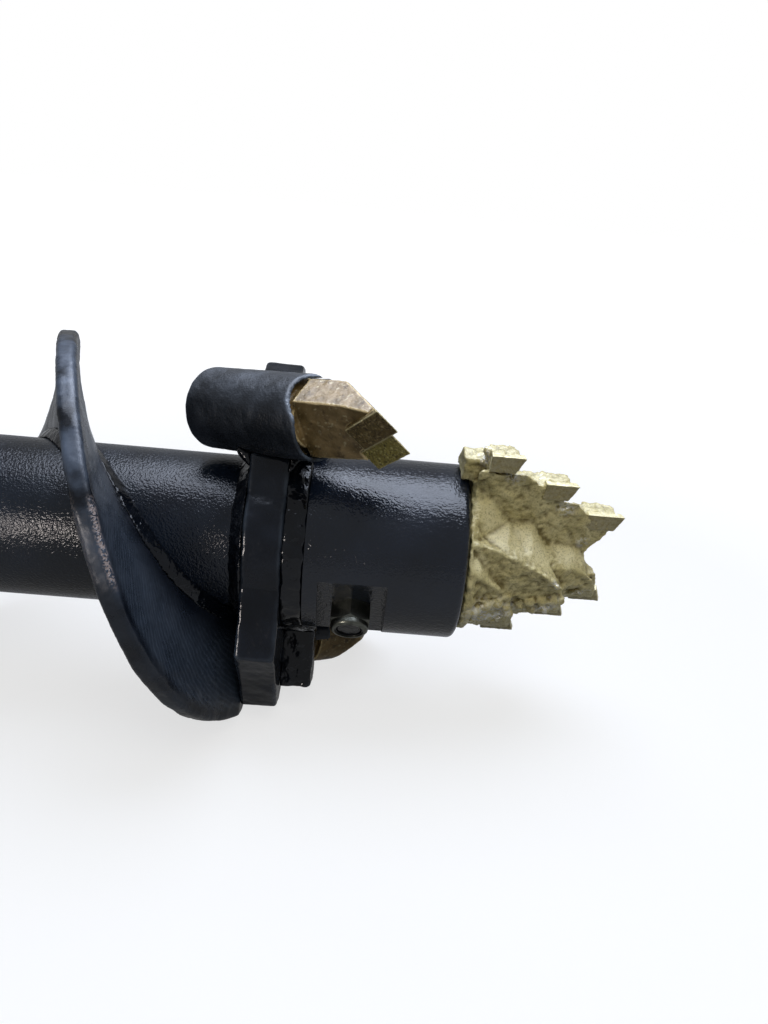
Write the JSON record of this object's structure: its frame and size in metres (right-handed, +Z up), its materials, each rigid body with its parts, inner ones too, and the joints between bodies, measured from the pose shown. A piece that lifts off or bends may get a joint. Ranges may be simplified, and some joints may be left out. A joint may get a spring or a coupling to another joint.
{
  "type": "rock auger head",
  "caption": "Head of a rock auger: tube with one flight turn, two angled carbide teeth in pockets on a plate, and a stepped cast pilot bolted in a socket.",
  "frame": {"origin": "on the auger's axis, inside the drive bore, at the shoulder where the drive hub meets the tube", "axes": "+X along the axis to the pilot, +Z up with the head lying on its flight and one tooth, -Y to the front"},
  "size_m": [0.548, 0.24, 0.24],
  "materials": {
    "black_enamel": "glossy thick sprayed enamel over welds",
    "pilot_gold": "pale gold paint over a sandy cast surface",
    "tooth_gold": "bronze coloured paint, mottled",
    "carbide": "pitted, thinly painted",
    "zinc": "zinc plated, dulled",
    "nylon": "dark nylon"
  },
  "bodies": {
    "root": {"stem_tube": "black_enamel", "drive_hub": "black_enamel", "hub_weld": "black_enamel", "flight": "black_enamel", "flight_weld_front": "black_enamel", "flight_weld_rear": "black_enamel", "head_plate": "black_enamel", "head_plate_weld_front": "black_enamel", "head_plate_weld_rear": "black_enamel", "pilot_socket": "black_enamel", "tooth_pocket_a": "black_enamel", "tooth_pocket_b": "black_enamel", "pocket_weld_front_a": "black_enamel", "pocket_weld_front_b": "black_enamel", "pocket_weld_rear_a": "black_enamel", "pocket_weld_rear_b": "black_enamel", "backing_block_a": "black_enamel", "backing_block_b": "black_enamel", "pilot_body": "pilot_gold", "tooth_a": "tooth_gold", "tooth_b": "tooth_gold", "tooth_tip_outer_a": "carbide", "tooth_tip_outer_b": "carbide", "tooth_tip_inner_a": "carbide", "tooth_tip_inner_b": "carbide", "pilot_tip_a1": "pilot_gold", "pilot_tip_a2": "pilot_gold", "pilot_tip_a3": "pilot_gold", "pilot_tip_b1": "pilot_gold", "pilot_tip_b2": "pilot_gold", "pilot_tip_b3": "pilot_gold", "pilot_bolt": "zinc", "lock_nut": "zinc", "nut_insert": "nylon"}
  },
  "joints": []
}
